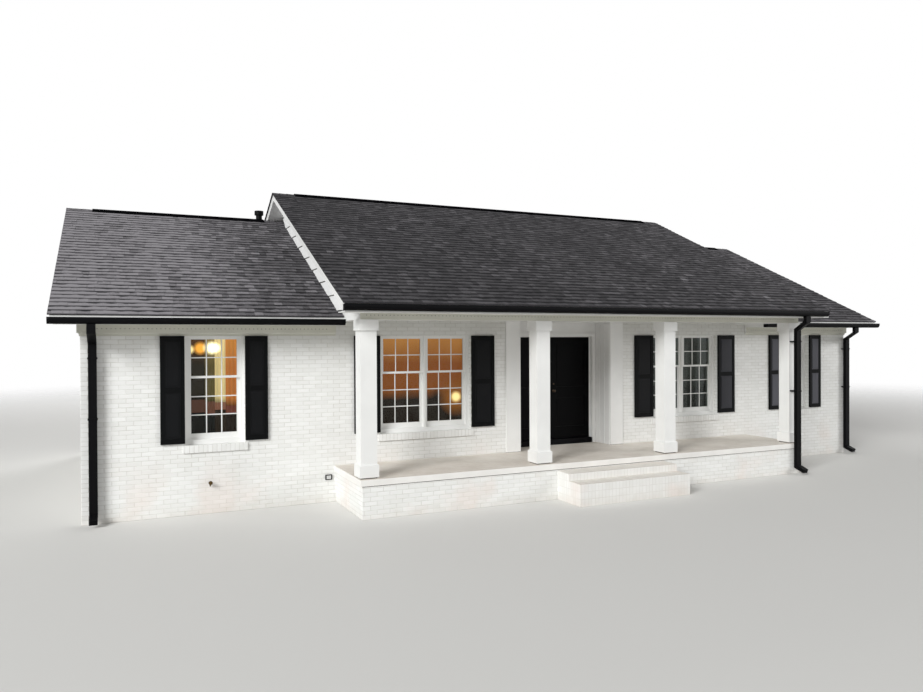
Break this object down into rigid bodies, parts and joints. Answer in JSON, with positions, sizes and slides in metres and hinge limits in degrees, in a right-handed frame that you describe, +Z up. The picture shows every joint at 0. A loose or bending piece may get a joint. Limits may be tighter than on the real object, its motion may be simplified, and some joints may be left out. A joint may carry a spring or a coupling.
{
  "type": "ranch house",
  "caption": "Single-storey painted brick ranch house with a higher middle gable over a columned front porch, lower gabled wings and a recessed pair of entry doors.",
  "frame": {"origin": "middle of the walls' rectangular plan at ground level, on the underside of the floor slab", "axes": "+Z up, +X to the right along the front seen from outside, -Y out of the front door"},
  "size_m": [16.76, 10.976, 5.7479],
  "materials": {
    "painted_brick": "satin paint",
    "trim": "painted satin white",
    "siding": "painted satin white",
    "shingle": "granular, rough",
    "black_metal": "satin black",
    "shutter": "satin black",
    "door_paint": "satin black paint",
    "window_vinyl": "satin white",
    "pane": "clear",
    "concrete": "painted, worn",
    "timber": "sawn",
    "plaster": "matt",
    "steel": "satin"
  },
  "bodies": {
    "house": {"front_wall_left": "painted_brick", "front_wall_right": "painted_brick", "rear_wall": "painted_brick", "left_end_wall": "painted_brick", "right_end_wall": "painted_brick", "floor_slab": "concrete", "ceiling": "plaster", "entry_side_walls": "trim", "entry_header": "trim", "entry_lintel": "trim", "entry_panels": "trim", "pilasters": "trim", "wing_roofs": "timber", "main_roof": "timber", "wing_shingles": "shingle", "main_shingles": "shingle", "ridge_vents": "black_metal", "end_gables": "siding", "main_gables": "siding", "fascias": "trim", "soffits": "trim", "friezes": "trim", "rake_boards": "trim", "porch_base": "painted_brick", "porch_slab": "concrete", "entry_steps": "painted_brick", "columns": "trim", "porch_beam": "trim", "porch_side_beams": "trim", "porch_ceiling": "trim", "window_frames": "window_vinyl", "window_sashes": "window_vinyl", "window_glass": "pane", "window_sills": "painted_brick", "shutters": "shutter", "door_frame": "trim", "threshold": "black_metal", "frame_hinges": "steel", "wing_gutters": "black_metal", "main_gutters": "black_metal", "downspouts": "black_metal", "flue_vent": "black_metal", "drip_edges": "trim", "wall_vent": "black_metal", "hose_tap": "steel"},
    "left_leaf": {"left_door": "door_paint", "left_door_hinges": "steel", "left_door_knob": "steel"},
    "right_leaf": {"right_door": "door_paint", "right_door_hinges": "steel", "right_door_knob": "steel"}
  },
  "joints": [
    {"name": "left_door_hinge", "type": "hinge", "parent": "house", "child": "left_leaf", "pos_m": [-0.6055, -3.463, 0.71], "axis": [0, 0, 1], "range_deg": [0, 95]},
    {"name": "right_door_hinge", "type": "hinge", "parent": "house", "child": "right_leaf", "pos_m": [1.2355, -3.463, 0.71], "axis": [0, 0, -1], "range_deg": [0, 95]}
  ]
}
